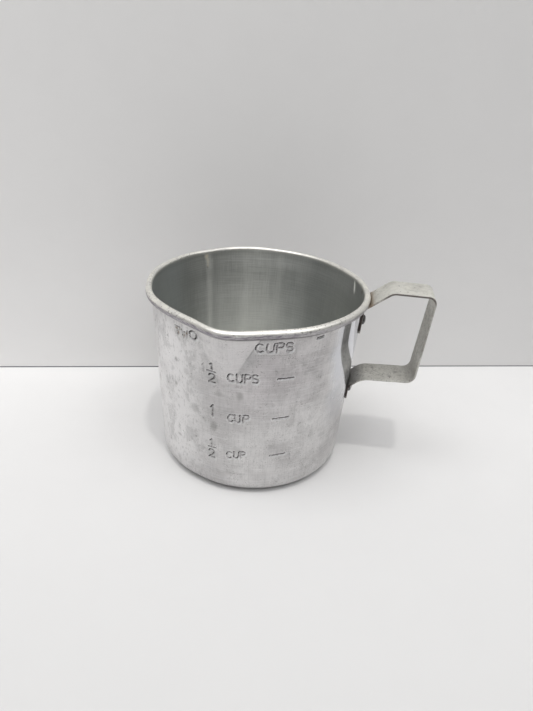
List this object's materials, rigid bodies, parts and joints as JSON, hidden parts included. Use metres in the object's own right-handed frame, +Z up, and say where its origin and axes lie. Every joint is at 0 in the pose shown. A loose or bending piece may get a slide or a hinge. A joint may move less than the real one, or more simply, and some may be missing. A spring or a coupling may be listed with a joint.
{
  "type": "measuring cup",
  "caption": "Pressed aluminium measuring cup with rolled rim, side pouring lip, stamped graduations and a riveted bent strap handle.",
  "frame": {"origin": "centre of the flat base, on the resting plane, on the axis of the round cup", "axes": "+Z up along the cup axis, +X out through the handle; the pouring lip points close to -Y"},
  "size_m": [0.1259, 0.1021, 0.0886],
  "materials": {
    "cup_aluminium": "hazy brushed, worn and finely scratched",
    "strap_aluminium": "dull satin, slightly yellowed",
    "rivet_aluminium": "satin, worn bright"
  },
  "bodies": {
    "root": {"cup_shell": "cup_aluminium", "handle_strap": "strap_aluminium", "upper_rivet": "rivet_aluminium", "lower_rivet": "rivet_aluminium"}
  },
  "joints": []
}
